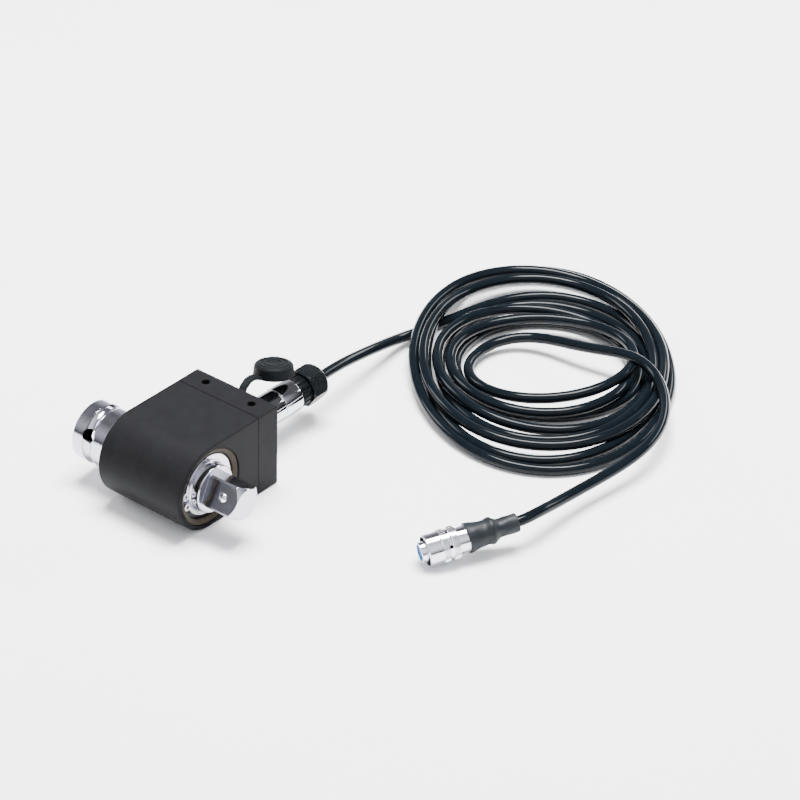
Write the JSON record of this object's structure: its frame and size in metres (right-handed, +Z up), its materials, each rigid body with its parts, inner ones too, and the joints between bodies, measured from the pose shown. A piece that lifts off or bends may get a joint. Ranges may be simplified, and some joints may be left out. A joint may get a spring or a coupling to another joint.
{
  "type": "rotary torque sensor",
  "caption": "In-line torque sensor: black housing with a shaft from female to male square drive, rear connector with dust cap, and a coiled cable that ends in a sleeve plug.",
  "frame": {"origin": "on the flat base of the housing, straight below the shaft axis, half way along the housing", "axes": "+X along the shaft towards the male square, +Y to the rear where the connector is, +Z up"},
  "size_m": [0.1716, 0.2604, 0.036],
  "materials": {
    "black_anodised_aluminium": "matte black anodised",
    "black_oxide_steel": "black oxide",
    "nickel_steel": "satin nickel plate",
    "ball_steel": "polished",
    "spring_steel": "bright",
    "seal_rubber": "matte brown-grey",
    "bearing_steel": "ground",
    "cage_brass": "pressed",
    "shield_black": "black",
    "hub_resin": "moulded",
    "ring_silver": "turned silver",
    "gauge_foil": "polyimide film",
    "block_resin": "moulded",
    "brush_graphite": "silver graphite",
    "board_laminate": "solder mask",
    "spacer_brass": "turned",
    "zinc_steel": "zinc plate",
    "chrome_brass": "bright plate",
    "insert_black": "moulded",
    "contact_gold": "gold plate",
    "cap_rubber": "matte black",
    "black_nylon": "moulded",
    "gland_rubber": "matte",
    "cable_sheath": "extruded",
    "shrink_tube": "heat-shrunk",
    "insert_blue": "moulded"
  },
  "bodies": {
    "sensor": {"main_housing": "black_anodised_aluminium", "rear_block": "black_anodised_aluminium", "rear_screws": "black_oxide_steel", "front_seal_ring": "seal_rubber", "rear_seal_ring": "seal_rubber", "front_outer_ring": "bearing_steel", "rear_outer_ring": "bearing_steel", "front_shield": "shield_black", "rear_shield": "shield_black", "brush_block": "block_resin", "brushes": "brush_graphite", "circuit_board": "board_laminate", "board_spacers": "spacer_brass", "board_screws": "zinc_steel", "panel_socket": "chrome_brass", "plug_barrel": "chrome_brass", "end_plug_body": "chrome_brass", "socket_insert": "insert_black", "plug_insert": "insert_black", "socket_pins": "contact_gold", "plug_contacts": "contact_gold", "end_contacts": "contact_gold", "dust_cap": "cap_rubber", "plug_backshell": "black_nylon", "gland_nut": "black_nylon", "gland_seal": "gland_rubber", "cable_lead": "cable_sheath", "cable_coil": "cable_sheath", "cable_tail": "cable_sheath", "shrink_sleeve": "shrink_tube", "end_insert": "insert_blue"},
    "shaft": {"torque_shaft": "nickel_steel", "detent_spring": "spring_steel", "front_circlip": "spring_steel", "front_inner_ring": "bearing_steel", "rear_inner_ring": "bearing_steel", "slip_ring_hub": "hub_resin", "slip_rings": "ring_silver", "strain_gauges": "gauge_foil"},
    "front_ball_set": {"front_balls": "ball_steel", "front_cage": "cage_brass"},
    "rear_ball_set": {"rear_balls": "ball_steel", "rear_cage": "cage_brass"},
    "detent": {"detent_ball": "ball_steel"},
    "coupling": {"coupling_ring": "chrome_brass"},
    "release": {"release_sleeve": "chrome_brass"}
  },
  "joints": [
    {"name": "shaft_spin", "type": "hinge", "parent": "sensor", "child": "shaft", "pos_m": [0, 0, 0.018], "axis": [1, 0, 0], "continuous": true},
    {"name": "front_balls_spin", "type": "hinge", "parent": "sensor", "child": "front_ball_set", "pos_m": [0, 0, 0.018], "axis": [1, 0, 0], "continuous": true},
    {"name": "rear_balls_spin", "type": "hinge", "parent": "sensor", "child": "rear_ball_set", "pos_m": [0, 0, 0.018], "axis": [1, 0, 0], "continuous": true},
    {"name": "detent_press", "type": "slide", "parent": "shaft", "child": "detent", "axis": [0, 0.8988, -0.4384], "range_m": [0, 0.00079], "stiffness_N_per_m": 3000, "springref_m": -0.0015, "deforming": ["detent_spring"]},
    {"name": "coupling_spin", "type": "hinge", "parent": "sensor", "child": "coupling", "pos_m": [0, 0.053, 0.0165], "axis": [0, 1, 0], "continuous": true},
    {"name": "release_slide", "type": "slide", "parent": "sensor", "child": "release", "axis": [0.5011, 0.8541, 0.1392], "range_m": [0, 0.002], "stiffness_N_per_m": 1500, "springref_m": -0.001}
  ],
  "couplings": [
    {"joint": "front_balls_spin", "follows": "shaft_spin", "ratio": 0.44444},
    {"joint": "rear_balls_spin", "follows": "shaft_spin", "ratio": 0.44444}
  ]
}
